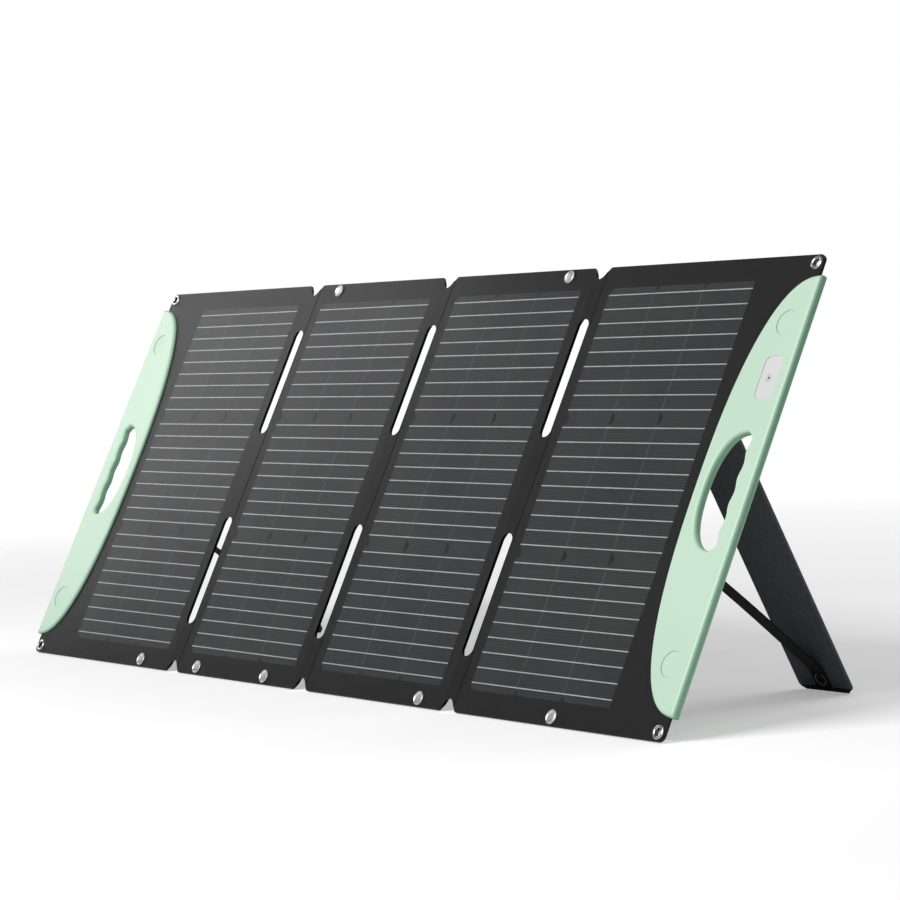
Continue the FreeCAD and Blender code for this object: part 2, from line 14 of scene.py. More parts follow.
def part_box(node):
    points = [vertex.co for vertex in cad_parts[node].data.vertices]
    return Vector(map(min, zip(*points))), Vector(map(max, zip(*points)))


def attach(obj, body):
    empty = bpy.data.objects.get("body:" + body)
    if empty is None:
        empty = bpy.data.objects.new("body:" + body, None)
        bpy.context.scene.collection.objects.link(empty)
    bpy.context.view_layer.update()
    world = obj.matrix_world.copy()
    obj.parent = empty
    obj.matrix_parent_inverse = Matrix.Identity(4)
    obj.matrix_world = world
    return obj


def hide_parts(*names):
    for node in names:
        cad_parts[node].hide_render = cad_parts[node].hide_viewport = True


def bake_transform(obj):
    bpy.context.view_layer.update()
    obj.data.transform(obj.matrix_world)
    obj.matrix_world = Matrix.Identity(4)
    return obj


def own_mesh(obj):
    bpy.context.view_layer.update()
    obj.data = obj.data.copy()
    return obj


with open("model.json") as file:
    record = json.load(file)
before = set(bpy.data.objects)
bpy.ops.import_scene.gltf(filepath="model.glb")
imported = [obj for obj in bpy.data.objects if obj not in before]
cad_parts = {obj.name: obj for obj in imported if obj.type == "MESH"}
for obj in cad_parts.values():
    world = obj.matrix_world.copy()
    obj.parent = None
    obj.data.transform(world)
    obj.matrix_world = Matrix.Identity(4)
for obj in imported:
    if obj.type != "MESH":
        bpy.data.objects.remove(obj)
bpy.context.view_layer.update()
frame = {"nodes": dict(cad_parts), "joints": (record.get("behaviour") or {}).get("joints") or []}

MM = 0.001
LEAVES = ("leaf_1", "leaf_2", "leaf_3", "leaf_4")
ENDS = {"left": ("leaf_1", "stand_left", -1), "right": ("leaf_4", "stand_right", 1)}
JOINTS = {joint["name"]: joint for joint in frame["joints"]}
RIGHT = Vector((1, 0, 0))
UP = Vector(JOINTS["fold_centre"]["axis"]).normalized()
OUT = RIGHT.cross(UP)


def reach(node, direction):
    """Lowest and highest reach of a CAD node along a direction, in metres."""
    values = [v.co.dot(direction) for v in frame["nodes"][node].data.vertices]
    return min(values), max(values)


def frame_matrix(x_axis, y_axis, z_axis, origin):
    """Takes millimetres along three axes to metres in the row frame."""
    matrix = Matrix((x_axis * MM, y_axis * MM, z_axis * MM)).transposed().to_4x4()
    matrix.translation = origin
    return matrix


V_ORIGIN = reach("back_cover_leaf_2", UP)[0]
W_ORIGIN = reach("front_film_leaf_2", OUT)[1]
FLAT = frame_matrix(RIGHT, UP, OUT, UP * V_ORIGIN + OUT * W_ORIGIN)
TO_FLAT = FLAT.inverted()

FLAP_ANGLE = math.radians(-JOINTS["stand_left_fold"]["range_deg"][0])
FLAP_UP = UP * math.cos(FLAP_ANGLE) + OUT * math.sin(FLAP_ANGLE)
FLAP_OUT = OUT * math.cos(FLAP_ANGLE) - UP * math.sin(FLAP_ANGLE)
FLAPS = {side: frame_matrix(RIGHT, FLAP_UP, FLAP_OUT, Vector(JOINTS["stand_%s_fold" % side]["pos_m"]))
         for side in ENDS}


def flap_to_flat(v, w):
    """A point of a flap's own frame (v up to its hinge, w toward the panel) as flat-frame (v, w)."""
    point = TO_FLAT @ FLAPS["left"] @ Vector((0, v, w))
    return point.y, point.z


def span(node, direction):
    """A node's reach in the flat frame, in millimetres."""
    low, high = reach(node, direction)
    shift = FLAT.translation.dot(direction)
    return (low - shift) / MM, (high - shift) / MM


SHEET_H = span("core_board_leaf_2", UP)[1]
W_BACK = span("back_cover_leaf_2", OUT)[0]


def joint_at(name):
    """A joint's place in the flat frame."""
    return TO_FLAT @ Vector(JOINTS[name]["pos_m"])


FOLD_AT = {name: joint_at(name) for name in ("fold_left", "fold_centre", "fold_right")}


# ---------------------------------------------------------------- node helpers
class Shader:
    """One material's node tree, built from short calls."""

    def __init__(self, name):
        self.material = bpy.data.materials.new(name)
        self.material.use_nodes = True
        self.tree = self.material.node_tree
        self.tree.nodes.clear()
        self.output = self.node("ShaderNodeOutputMaterial")
        self.bsdf = self.node("ShaderNodeBsdfPrincipled")
        self.link(self.bsdf, "BSDF", self.output, "Surface")

    def node(self, kind, **values):
        made = self.tree.nodes.new(kind)
        for key, value in values.items():
            setattr(made, key, value)
        return made

    def link(self, source, out_name, target, in_name):
        self.tree.links.new(source.outputs[out_name], target.inputs[in_name])

    def set(self, **values):
        for key, value in values.items():
            self.bsdf.inputs[key.replace("_", " ")].default_value = value

    def flat_coords(self, scale=(1, 1, 1)):
        """Rest coordinates turned into the panel's flat frame, in metres times scale."""
        coords = self.node("ShaderNodeTexCoord")
        mapping = self.node("ShaderNodeMapping", vector_type="POINT")
        mapping.inputs["Rotation"].default_value = FLAT.to_3x3().normalized().inverted().to_euler()
        self.link(coords, "Object", mapping, "Vector")
        stretch = self.node("ShaderNodeMapping", vector_type="POINT")
        stretch.inputs["Scale"].default_value = scale
        self.link(mapping, "Vector", stretch, "Vector")
        return stretch

    def uv_coords(self):
        """Surface coordinates stored on a piece, in metres."""
        coords = self.node("ShaderNodeUVMap", uv_map="cloth")
        mapping = self.node("ShaderNodeMapping", vector_type="POINT")
        self.link(coords, "UV", mapping, "Vector")
        return mapping

    def noise(self, coords, scale, detail=2.0, roughness=0.5):
        made = self.node("ShaderNodeTexNoise")
        made.inputs["Scale"].default_value = scale
        made.inputs["Detail"].default_value = detail
        made.inputs["Roughness"].default_value = roughness
        self.link(coords, "Vector", made, "Vector")
        return made

    def wave(self, coords, scale, direction="X", distortion=0.0):
        made = self.node("ShaderNodeTexWave", wave_type="BANDS", bands_direction=direction)
        made.inputs["Scale"].default_value = scale
        made.inputs["Distortion"].default_value = distortion
        self.link(coords, "Vector", made, "Vector")
        return made

    def ramp(self, source, out_name, stops):
        made = self.node("ShaderNodeValToRGB")
        elements = made.color_ramp.elements
        while len(elements) < len(stops):
            elements.new(0.5)
        for element, (place, colour) in zip(elements, stops):
            element.position = place
            element.color = (*colour, 1.0)
        self.link(source, out_name, made, "Fac")
        return made

    def maths(self, operation, a, b):
        """A maths node on two inputs, each a (node, output) pair or a number."""
        made = self.node("ShaderNodeMath", operation=operation)
        for i, value in enumerate((a, b)):
            if isinstance(value, tuple):
                self.tree.links.new(value[0].outputs[value[1]], made.inputs[i])
            else:
                made.inputs[i].default_value = value
        return made

    def colour(self, source, out_name, stops):
        """A ramp that sets the base colour."""
        made = self.ramp(source, out_name, stops)
        self.link(made, "Color", self.bsdf, "Base Color")
        return made

    def multiply_colour(self, shade, tint):
        """One ramp times another sets the base colour."""
        mix = self.node("ShaderNodeMix", data_type="RGBA", blend_type="MULTIPLY")
        mix.inputs["Factor"].default_value = 1.0
        self.tree.links.new(shade.outputs["Color"], mix.inputs[6])
        self.tree.links.new(tint.outputs["Color"], mix.inputs[7])
        self.tree.links.new(mix.outputs[2], self.bsdf.inputs["Base Color"])

    def bump(self, height, out_name, strength, distance, target="Normal"):
        made = self.node("ShaderNodeBump")
        made.inputs["Strength"].default_value = strength
        made.inputs["Distance"].default_value = distance
        self.link(height, out_name, made, "Height")
        self.link(made, "Normal", self.bsdf, target)


def bands(pitch_mm):
    """Scale of a wave texture whose bands repeat at a pitch in millimetres."""
    return math.pi / (pitch_mm * MM) / 20.0


def grey(value):
    """A neutral colour."""
    return (value, value, value)


def cloth_weave(shader, coords, thread_mm):
    """Height of a plain weave: two crossed sets of threads, over and under."""
    warp = shader.wave(coords, bands(thread_mm), "X", 0.4)
    weft = shader.wave(coords, bands(thread_mm), "Y", 0.4)
    return shader.maths("MAXIMUM", (warp, "Fac"), (weft, "Fac"))


# ---------------------------------------------------------------- materials
def film_emboss(shader, coords):
    """The film's pressed texture: fine close dimples that scatter its gloss."""
    dimples = shader.node("ShaderNodeTexVoronoi", feature="SMOOTH_F1")
    dimples.inputs["Scale"].default_value = 950.0
    shader.link(coords, "Vector", dimples, "Vector")
    shader.bump(dimples, "Distance", 0.12, 0.0003, target="Coat Normal")


def film_gloss(shader):
    """The satin face of the clear film over whatever lies under it."""
    shader.set(Coat_Weight=0.34, Coat_Roughness=0.18, Coat_IOR=1.42)


def under_film(name, colour, roughness=0.5, on_uv=False):
    """A black layer seen through the embossed film, whose gloss is the shader's coat."""
    shader = Shader(name)
    coords = shader.uv_coords() if on_uv else shader.flat_coords()
    tone = shader.noise(coords, 7.0, 3.0)
    shader.colour(tone, "Fac", [(0.3, [c * 0.85 for c in colour]), (0.7, [c * 1.15 for c in colour])])
    shader.set(Roughness=roughness, Specular_IOR_Level=0.06)
    film_gloss(shader)
    film_emboss(shader, coords)
    return shader.material


def cell_material():
    """Black silicon with fine printed fingers along the panel."""
    shader = Shader("silicon_cell_black")
    coords = shader.flat_coords()
    fingers = shader.wave(coords, bands(1.55), "Y")
    lines = shader.ramp(fingers, "Fac", [(0.80, (0.034, 0.035, 0.036)), (0.97, (0.052, 0.053, 0.055))])
    cloud = shader.noise(coords, 9.0, 4.0)
    tint = shader.ramp(cloud, "Fac", [(0.25, (0.80, 0.80, 0.84)), (0.75, (1.15, 1.15, 1.12))])
    shader.multiply_colour(lines, tint)
    shader.set(Roughness=0.42, Specular_IOR_Level=0.06)
    film_gloss(shader)
    film_emboss(shader, coords)
    return shader.material


def ribbon_material():
    """Tinned ribbon under the film."""
    shader = Shader("ribbon_tinned")
    coords = shader.flat_coords()
    tone = shader.noise(coords, 60.0, 3.0)
    shader.colour(tone, "Fac", [(0.3, (0.46, 0.47, 0.48)), (0.7, (0.62, 0.63, 0.64))])
    shader.set(Roughness=0.45, Metallic=0.2, Specular_IOR_Level=0.3)
    film_gloss(shader)
    film_emboss(shader, coords)
    return shader.material


def film_material():
    """The clear film itself: almost invisible, with a faint haze."""
    shader = Shader("front_film_clear")
    coords = shader.flat_coords()
    haze = shader.noise(coords, 30.0, 2.0)
    shader.colour(haze, "Fac", [(0.3, (0.05, 0.05, 0.055)), (0.7, (0.07, 0.07, 0.075))])
    shader.set(Roughness=0.35, Alpha=0.05)
    return shader.material


def paint_flank_shade(shader, shade, depth):
    """Painted shade: the base colour is multiplied by a darker green on a moulding's flank faces, which turn
    away from its front and back, to stand in for the shade there.
    """
    facing = shader.node("ShaderNodeVectorMath", operation="DOT_PRODUCT")
    facing.inputs[1].default_value = OUT
    shader.link(shader.node("ShaderNodeTexCoord"), "Normal", facing, "Vector")
    flatness = shader.maths("MULTIPLY", (facing, "Value"), (facing, "Value"))
    tint = shader.ramp(flatness, "Value", [(0.0, depth), (0.85, (1, 1, 1))])
    shader.multiply_colour(shade, tint)


def moulded_material(name, colour, roughness, grain=0.12, grain_scale=900.0, flank_shade=None, gloss=0.0):
    """Injection-moulded plastic with a fine spark-eroded grain and a slight tone drift."""
    shader = Shader(name)
    coords = shader.flat_coords()
    drift = shader.noise(coords, 5.0, 2.0)
    low = [c * 0.96 for c in colour]
    high = [min(1.0, c * 1.03) for c in colour]
    shade = shader.colour(drift, "Fac", [(0.3, low), (0.7, high)])
    # Painted shade: a darker green multiplied into the base colour on the moulding's flank faces.
    if flank_shade:
        paint_flank_shade(shader, shade, flank_shade)
    shader.set(Roughness=roughness, Specular_IOR_Level=0.35, Coat_Weight=gloss, Coat_Roughness=0.2)
    grains = shader.noise(coords, grain_scale, 3.0, 0.6)
    shader.bump(grains, "Fac", grain, 0.0002)
    return shader.material


def metal_material(name, colour, roughness, brushed=40.0):
    """Plated metal with faint wear and fine polishing marks."""
    shader = Shader(name)
    coords = shader.flat_coords((brushed, 1.0, 1.0))
    marks = shader.noise(coords, 160.0, 3.0)
    rough = shader.node("ShaderNodeMapRange")
    rough.inputs["To Min"].default_value = roughness * 0.75
    rough.inputs["To Max"].default_value = roughness * 1.35
    shader.link(marks, "Fac", rough, "Value")
    shader.link(rough, "Result", shader.bsdf, "Roughness")
    tone = shader.noise(shader.flat_coords(), 300.0, 2.0)
    shader.colour(tone, "Fac", [(0.3, [c * 0.88 for c in colour]), (0.7, colour)])
    shader.set(Metallic=1.0)
    shader.bump(marks, "Fac", 0.05, 0.0001)
    return shader.material


def fabric_material(name, dark, light, thread_mm, on_uv=False, strength=0.6, sheen=0.25):
    """Woven cloth: crossed threads, mottled dye and a soft sheen."""
    shader = Shader(name)
    coords = shader.uv_coords() if on_uv else shader.flat_coords()
    weave = cloth_weave(shader, coords, thread_mm)
    mottle = shader.noise(coords, 220.0, 3.0)
    blend = shader.maths("MULTIPLY", (weave, "Value"), (mottle, "Fac"))
    shader.colour(blend, "Value", [(0.15, dark), (0.75, light)])
    shader.set(Roughness=0.82, Sheen_Weight=sheen, Sheen_Roughness=0.5)
    shader.bump(weave, "Value", strength, thread_mm * MM * 0.25)
    return shader.material


def webbing_material(name):
    """Narrow-woven strap: herringbone ridges along its length."""
    shader = Shader(name)
    coords = shader.uv_coords()
    ribs = shader.wave(coords, bands(1.5), "X", 0.3)
    cross = shader.wave(coords, bands(0.9), "DIAGONAL", 0.3)
    height = shader.maths("ADD", (ribs, "Fac"), (cross, "Fac"))
    shader.colour(height, "Value", [(0.3, (0.003, 0.003, 0.0032)), (1.0, (0.011, 0.011, 0.0115))])
    shader.set(Roughness=0.75, Sheen_Weight=0.04, Specular_IOR_Level=0.25)
    shader.bump(height, "Value", 0.7, 0.0003)
    return shader.material


def thread_material(name, colour):
    """Twisted sewing thread."""
    shader = Shader(name)
    coords = shader.flat_coords()
    twist = shader.wave(coords, 90.0, "DIAGONAL")
    shader.colour(twist, "Fac", [(0.2, [c * 0.6 for c in colour]), (0.8, colour)])
    shader.set(Roughness=0.6, Sheen_Weight=0.2)
    return shader.material


def cut_edge_material():
    """The bare black edge where the sheet is cut through."""
    shader = Shader("cut_edge_black")
    grain = shader.noise(shader.flat_coords(), 400.0, 3.0)
    shader.colour(grain, "Fac", [(0.3, grey(0.0010)), (0.7, grey(0.0022))])
    shader.set(Roughness=0.8, Specular_IOR_Level=0.03)
    return shader.material


MINT = (0.585, 0.790, 0.625)
MATERIALS = {
    "front_film": film_material(),
    "bus_ribbons": ribbon_material(),
    "solar_cells": cell_material(),
    "core_board": under_film("core_board_black", (0.011, 0.011, 0.0115)),
    "back_cover": fabric_material("back_cover_cloth", (0.012, 0.013, 0.014), (0.045, 0.048, 0.050), 0.9),
    # The handle's flank faces and finger-hole walls get painted shade, a darker green set by the way they
    # face.
    "handle_shell": moulded_material("handle_mint", MINT, 0.38, flank_shade=(0.52, 0.74, 0.62), gloss=0.22),
    "handle_caps": moulded_material("handle_cap_mint", MINT, 0.38, 0.08),
    "magnet": metal_material("magnet_nickel", grey(0.6), 0.3),
    "screw": metal_material("screw_zinc", (0.5, 0.5, 0.52), 0.35),
    "dial_plate": moulded_material("dial_pale", (0.75, 0.74, 0.75), 0.3, 0.05),
    "dial_sight": moulded_material("dial_sight_dark", grey(0.03), 0.35, 0.05),
    "stud": metal_material("stud_satin_nickel", grey(0.72), 0.32),
    "eyelet": metal_material("eyelet_nickel", grey(0.78), 0.16),
    "snap": metal_material("snap_gunmetal", (0.50, 0.50, 0.51), 0.26),
    "flap": fabric_material("flap_slate_cloth", (0.064, 0.079, 0.086), (0.138, 0.168, 0.183), 0.7,
                            strength=0.35),
    "foot": moulded_material("foot_rubber", (0.020, 0.022, 0.022), 0.6, 0.3, 500.0),
    "patch": fabric_material("patch_cloth", (0.008, 0.008, 0.009), (0.03, 0.03, 0.032), 0.8),
    "box": moulded_material("box_black_plastic", (0.016, 0.016, 0.017), 0.38, 0.25, 700.0),
    "socket": moulded_material("socket_rubber", grey(0.012), 0.55, 0.2, 600.0),
    "fold": under_film("fold_strip_black", (0.012, 0.012, 0.0125), on_uv=True),
    "webbing": webbing_material("strap_webbing_black"),
    "dial_dish": moulded_material("dial_dish_pale", (0.62, 0.61, 0.62), 0.35, 0.05),
    # Painted highlight: a pale grey for strips that stand in for the glint of the wafers' edges.
    "wafer_edge": under_film("wafer_edge_painted_glint", (0.105, 0.107, 0.11), 0.4),
    # Painted shade: a darker, rougher metal inside the eyelets' tubes stands in for the shade in their holes.
    "eyelet_hole_shade": metal_material("eyelet_tube_painted_shade", (0.16, 0.16, 0.165), 0.42),
    "binding": fabric_material("flap_binding_tape", (0.070, 0.082, 0.088), (0.150, 0.170, 0.180), 0.6),
    "thread_black": thread_material("thread_black", (0.03, 0.03, 0.032)),
    "thread_grey": thread_material("thread_grey", (0.10, 0.11, 0.115)),
    "hinge_cloth": fabric_material("hinge_cloth_slate", (0.050, 0.062, 0.068), (0.106, 0.131, 0.143), 0.8,
                                   on_uv=True),
    "cut_edge": cut_edge_material(),
}
SAME_NAME = ("front_film", "bus_ribbons", "solar_cells", "core_board", "back_cover", "handle_caps",
             "dial_plate", "dial_sight")
NODE_MATERIAL = [(name, name) for name in SAME_NAME] + [
    ("handle_magnets", "magnet"), ("handle_screws", "screw"), ("handle_", "handle_shell"),
    ("press_studs", "stud"), ("corner_eyelets", "eyelet"), ("stand_flap", "flap"), ("stand_foot", "foot"),
    ("stand_snap", "snap"), ("stand_hinge_patch", "patch"), ("strap_anchor", "patch"),
    ("stand_strap", "webbing"), ("junction_box_screws", "screw"), ("junction_box", "box"),
    ("output_socket", "socket"), ("bypass_diodes", "screw"), ("fold_", "fold"),
]


def finish_cad_nodes():
    """Every CAD node gets its material by name."""
    for name, node in frame["nodes"].items():
        key = next(material for start, material in NODE_MATERIAL if name.startswith(start))
        node.data.materials.clear()
        node.data.materials.append(MATERIALS[key])


finish_cad_nodes()


# ---------------------------------------------------------------- mesh helpers
def add_object(name, data):
    """A new object in the scene that shows some data."""
    made = bpy.data.objects.new(name, data)
    bpy.context.scene.collection.objects.link(made)
    return made


def add_piece(name, bm, material, place=FLAT, uvs=None, smooth_deg=35.0):
    """A mesh drawn in millimetres becomes an object in the row frame."""
    bmesh.ops.recalc_face_normals(bm, faces=bm.faces)
    mesh = bpy.data.meshes.new(name)
    bm.to_mesh(mesh)
    bm.free()
    if uvs:
        layer = mesh.uv_layers.new(name="cloth")
        for loop in mesh.loops:
            layer.data[loop.index].uv = [c * MM for c in uvs[loop.vertex_index]]
    mesh.transform(place)
    mesh.materials.append(MATERIALS[material])
    piece = add_object(name, mesh)
    mesh.shade_smooth()
    mesh.set_sharp_from_angle(angle=math.radians(smooth_deg))
    return piece


def settle(piece, body, slot, *nodes):
    """The piece rides a body and stands in for CAD nodes; its slot argument is not used."""
    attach(piece, body)
    if nodes:
        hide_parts(*nodes)


def join_rings(bm, rows):
    """Quads between neighbouring closed rings of vertices."""
    for low, high in zip(rows, rows[1:]):
        for i in range(len(low)):
            j = (i + 1) % len(low)
            bm.faces.new((low[i], low[j], high[j], high[i]))


def skin_rings(bm, rings):
    """A skin over closed rings of points, with both ends capped."""
    rows = [[bm.verts.new(point) for point in ring] for ring in rings]
    join_rings(bm, rows)
    bm.faces.new(rows[0][::-1])
    bm.faces.new(rows[-1])


def rectangle(x_span, v_span, w):
    """Four corners between two x and two v, at a depth w."""
    (x0, x1), (v0, v1) = x_span, v_span
    return [Vector((x, v, w)) for x, v in ((x0, v0), (x1, v0), (x1, v1), (x0, v1))]


def slab(bm, x_span, v_span, w_span):
    """A box between two x, two v and two w."""
    skin_rings(bm, [rectangle(x_span, v_span, w) for w in w_span])


def lathe(bm, profile, centre, turns=40, closed=False):
    """A profile of (radius, height) points turned about the line through centre along w."""
    rows = []
    for radius, height in profile:
        count = turns if radius > 0 else 1
        angles = [2 * math.pi * k / turns for k in range(count)]
        offsets = [Vector((radius * math.cos(t), radius * math.sin(t), height)) for t in angles]
        rows.append([bm.verts.new(Vector(centre) + offset) for offset in offsets])
    pairs = list(zip(rows, rows[1:]))
    if closed:
        pairs.append((rows[-1], rows[0]))
    for low, high in pairs:
        for k in range(turns):
            n = (k + 1) % turns
            corners = (low[k % len(low)], low[n % len(low)], high[n % len(high)], high[k % len(high)])
            bm.faces.new(list(dict.fromkeys(corners)))


def smooth_path(points, per_span=8):
    """A Catmull-Rom line through (v, w) points."""
    ends = [points[0]] + list(points) + [points[-1]]
    path = []
    for p0, p1, p2, p3 in zip(ends, ends[1:], ends[2:], ends[3:]):
        for k in range(per_span):
            t = k / per_span
            path.append([0.5 * (2 * b + (c - a) * t + (2 * a - 5 * b + 4 * c - d) * t * t
                                + (3 * b - a - 3 * c + d) * t ** 3)
                         for a, b, c, d in zip(p0, p1, p2, p3)])
    path.append(list(points[-1]))
    return path


def band_rings(path, half_width, thickness, across=12):
    """Cross-sections of a flat band that follows a (v, w) path, and the UV of each point."""
    half = thickness / 2.0
    soft = min(half * 0.9, 0.5)
    rings, uvs = [], []
    length = 0.0
    for i, (v, w) in enumerate(path):
        before, after = path[max(i - 1, 0)], path[min(i + 1, len(path) - 1)]
        along = Vector((after[0] - before[0], after[1] - before[1])).normalized()
        normal = Vector((-along.y, along.x))
        if i:
            length += math.dist(path[i - 1], path[i])
        front = [(-half_width + soft + (2 * half_width - 2 * soft) * k / across, half)
                 for k in range(across + 1)]
        back = [(x, -half) for x, _ in front[::-1]]
        outline = front + [(half_width, 0.0)] + back + [(-half_width, 0.0)]
        rings.append([Vector((x, v + normal.x * h, w + normal.y * h)) for x, h in outline])
        uvs += [(x, length) for x, _ in outline]
    return rings, uvs


def shifted(rings, x):
    """The same rings moved along the panel."""
    return [[point + Vector((x, 0, 0)) for point in ring] for ring in rings]


STITCH_R = 0.32
STITCH_SIDES = 6


def stitch(bm, start, end, normal):
    """One sewn thread: it dips into the cloth at both ends."""
    along = (end - start).normalized()
    side = along.cross(normal).normalized()
    rings = []
    for t, size, lift in ((0.0, 0.35, -0.35), (0.22, 0.95, 0.12), (0.78, 0.95, 0.12), (1.0, 0.35, -0.35)):
        centre = start.lerp(end, t) + normal * lift * STITCH_R * 2
        rings.append([centre + (side * math.cos(a) + normal * math.sin(a)) * STITCH_R * size
                      for a in [2 * math.pi * k / STITCH_SIDES for k in range(STITCH_SIDES)]])
    skin_rings(bm, rings)


def stitch_run(bm, points, pitch, normal=(0, 0, -1), share=0.72):
    """A row of stitches along a line of points."""
    for start, end in zip(points, points[1:]):
        start, end = Vector(start), Vector(end)
        count = max(1, round((end - start).length / pitch))
        for k in range(count):
            a = start.lerp(end, (k + 0.5 - share / 2) / count)
            b = start.lerp(end, (k + 0.5 + share / 2) / count)
            stitch(bm, a, b, Vector(normal))


def copy_of_node(name, node):
    """A new piece that starts from a CAD node's mesh."""
    return add_object(name, frame["nodes"][node].data.copy())


# ---------------------------------------------------------------- front films
FILM_T = 0.12


def make_film(leaf):
    """The clear film as a thin skin that stands just off the ribbons."""
    node = "front_film_" + leaf
    piece = copy_of_node("clear_film_" + leaf, node)
    skin = W_ORIGIN - FILM_T * MM
    for vertex in piece.data.vertices:
        depth = vertex.co.dot(OUT)
        if depth < skin:
            vertex.co += OUT * (skin - depth)
    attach(piece, leaf)
    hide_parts(node)


for leaf_name in LEAVES:
    make_film(leaf_name)


# ---------------------------------------------------------------- fold strips
STRIP_HALF = 10.0
SLOTS = ((67.5, 220.5), (342.5, 495.5))
NOTCH_HALF = 18.5
NOTCH_DEPTH = 15.0
STRIP_ACROSS = 40
STRIP_LAP = 1.2
STRIP_PROUD = 0.04
STRIP_HOLLOW = 3.0
STRIP_BODIES = {"fold_left": ("leaf_1", "leaf_2"), "fold_centre": ("leaf_2", "leaf_3"),
                "fold_right": ("leaf_3", "leaf_4")}


def notch_depth(x):
    """How far the bell-shaped notch reaches in from the sheet's edge, at x from the fold."""
    bell = (0.5 + 0.5 * math.cos(math.pi * x / NOTCH_HALF)) ** 0.85
    return max(0.0, (NOTCH_DEPTH + 1.0) * bell - 1.0)


def slot_end(x):
    """How far a slot's round end stands back from its tip, at x from the fold."""
    return STRIP_HALF - math.sqrt(max(0.0, STRIP_HALF ** 2 - x ** 2))


STRIP_LIMITS = (
    (notch_depth, lambda x: SLOTS[0][0] + slot_end(x)),
    (lambda x: SLOTS[0][1] - slot_end(x), lambda x: SLOTS[1][0] + slot_end(x)),
    (lambda x: SLOTS[1][1] - slot_end(x), lambda x: SHEET_H - notch_depth(x)),
)


def strip_faces(x):
    """Front and back of a fold strip: flat in front, and thinner towards the middle from the back."""
    hollow = math.cos(math.pi / 2 * min(1.0, abs(x) / STRIP_HALF)) ** 2
    return STRIP_PROUD, W_BACK - STRIP_PROUD + STRIP_HOLLOW * hollow


def make_fold_strip(fold, index):
    """One flexible bridge between two leaves."""
    low_at, high_at = STRIP_LIMITS[index]
    xs = [(STRIP_HALF + STRIP_LAP) * math.sin(math.pi / 2 * (2.0 * i / STRIP_ACROSS - 1.0))
          for i in range(STRIP_ACROSS + 1)]
    steps = max(6, round((high_at(0) - low_at(0)) / 8.0))
    bm = bmesh.new()
    grids, uvs = [], []
    for face in (0, 1):
        rows = []
        for j in range(steps + 1):
            row = []
            for x in xs:
                v = low_at(x) + (high_at(x) - low_at(x)) * j / steps
                row.append(bm.verts.new((FOLD_AT[fold].x + x, v, strip_faces(x)[face])))
                uvs.append((x, v))
            rows.append(row)
        for low, high in zip(rows, rows[1:]):
            for i in range(STRIP_ACROSS):
                bm.faces.new((low[i], low[i + 1], high[i + 1], high[i]))
        grids.append(rows)
    front, back = grids
    ends = [(front[i], back[i]) for i in (0, -1)]
    sides = [([row[i] for row in front], [row[i] for row in back]) for i in (0, -1)]
    for near, far in ends + sides:
        for i in range(len(near) - 1):
            rim = bm.faces.new((near[i], near[i + 1], far[i + 1], far[i]))
            rim.material_index = 1 if (near, far) in ends else 0
    piece = add_piece("%s_cloth_%d" % (fold, index + 1), bm, "fold", uvs=uvs, smooth_deg=50)
    piece.data.materials.append(MATERIALS["cut_edge"])
    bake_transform(piece)
    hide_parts(fold + "_strips")


def make_slot_edges(fold):
    """Bare black edges of both leaves along the slots of a fold."""
    for leaf, sign in zip(STRIP_BODIES[fold], (-1, 1)):
        x = FOLD_AT[fold].x + sign * STRIP_HALF
        bm = bmesh.new()
        for v0, v1 in SLOTS:
            low, high = v0 + STRIP_HALF - 0.5, v1 - STRIP_HALF + 0.5
            slab(bm, (x, x - sign * 0.3), (low, high), (W_BACK - 0.02, 0.02))
        piece = add_piece("slot_edges_%s_%s" % (fold, leaf), bm, "cut_edge")
        settle(piece, leaf, "core_board")


for fold_name in STRIP_BODIES:
    for strip_index in range(3):
        make_fold_strip(fold_name, strip_index)
    make_slot_edges(fold_name)


# ---------------------------------------------------------------- eyelets and press studs
SHEET_HALF_W = 687.5
EYELET_AT = (10.5, 10.0)
EYELET_HOLE_R = 4.5
EYELET_OUTER_R = 8.2
EYELET_TUBE_R = 5.3
EYELET_ROLL = 1.5
STUD_V = 10.2
STUDS = {"leaf_1": [(-393.0, STUD_V)],
         "leaf_2": [(-248.5, STUD_V), (-86.0, STUD_V), (-248.5, SHEET_H - STUD_V)],
         "leaf_3": [(248.5, STUD_V), (248.5, SHEET_H - STUD_V)],
         "leaf_4": [(497.5, STUD_V)]}
STUD_CAP = [(0, 1.30), (2.5, 1.34), (4.6, 1.30), (5.9, 1.18), (6.5, 0.95), (6.9, 1.00), (7.3, 1.42),
            (7.8, 1.58), (8.2, 1.42), (8.5, 0.95), (8.5, 0.0), (0, 0.0)]
STUD_SOCKET = [(0, -0.30), (2.6, -0.30), (3.0, -0.80), (3.6, -1.00), (4.3, -0.95), (4.8, -0.60),
               (5.8, -0.55), (6.3, -0.40), (6.5, 0.0), (0, 0.0)]


def eyelet_profile():
    """Both rolled flanges and the tube between them, as one closed outline."""
    middle = (EYELET_HOLE_R + EYELET_OUTER_R) / 2
    half = (EYELET_OUTER_R - EYELET_HOLE_R) / 2
    roll = [(middle - half * math.cos(t), EYELET_ROLL * math.sin(t) ** 0.8)
            for t in [math.pi * k / 10 for k in range(11)]]
    back_roll = [(r, W_BACK - h) for r, h in roll[::-1]]
    return roll + [(EYELET_TUBE_R, 0.0), (EYELET_TUBE_R, W_BACK)] + back_roll


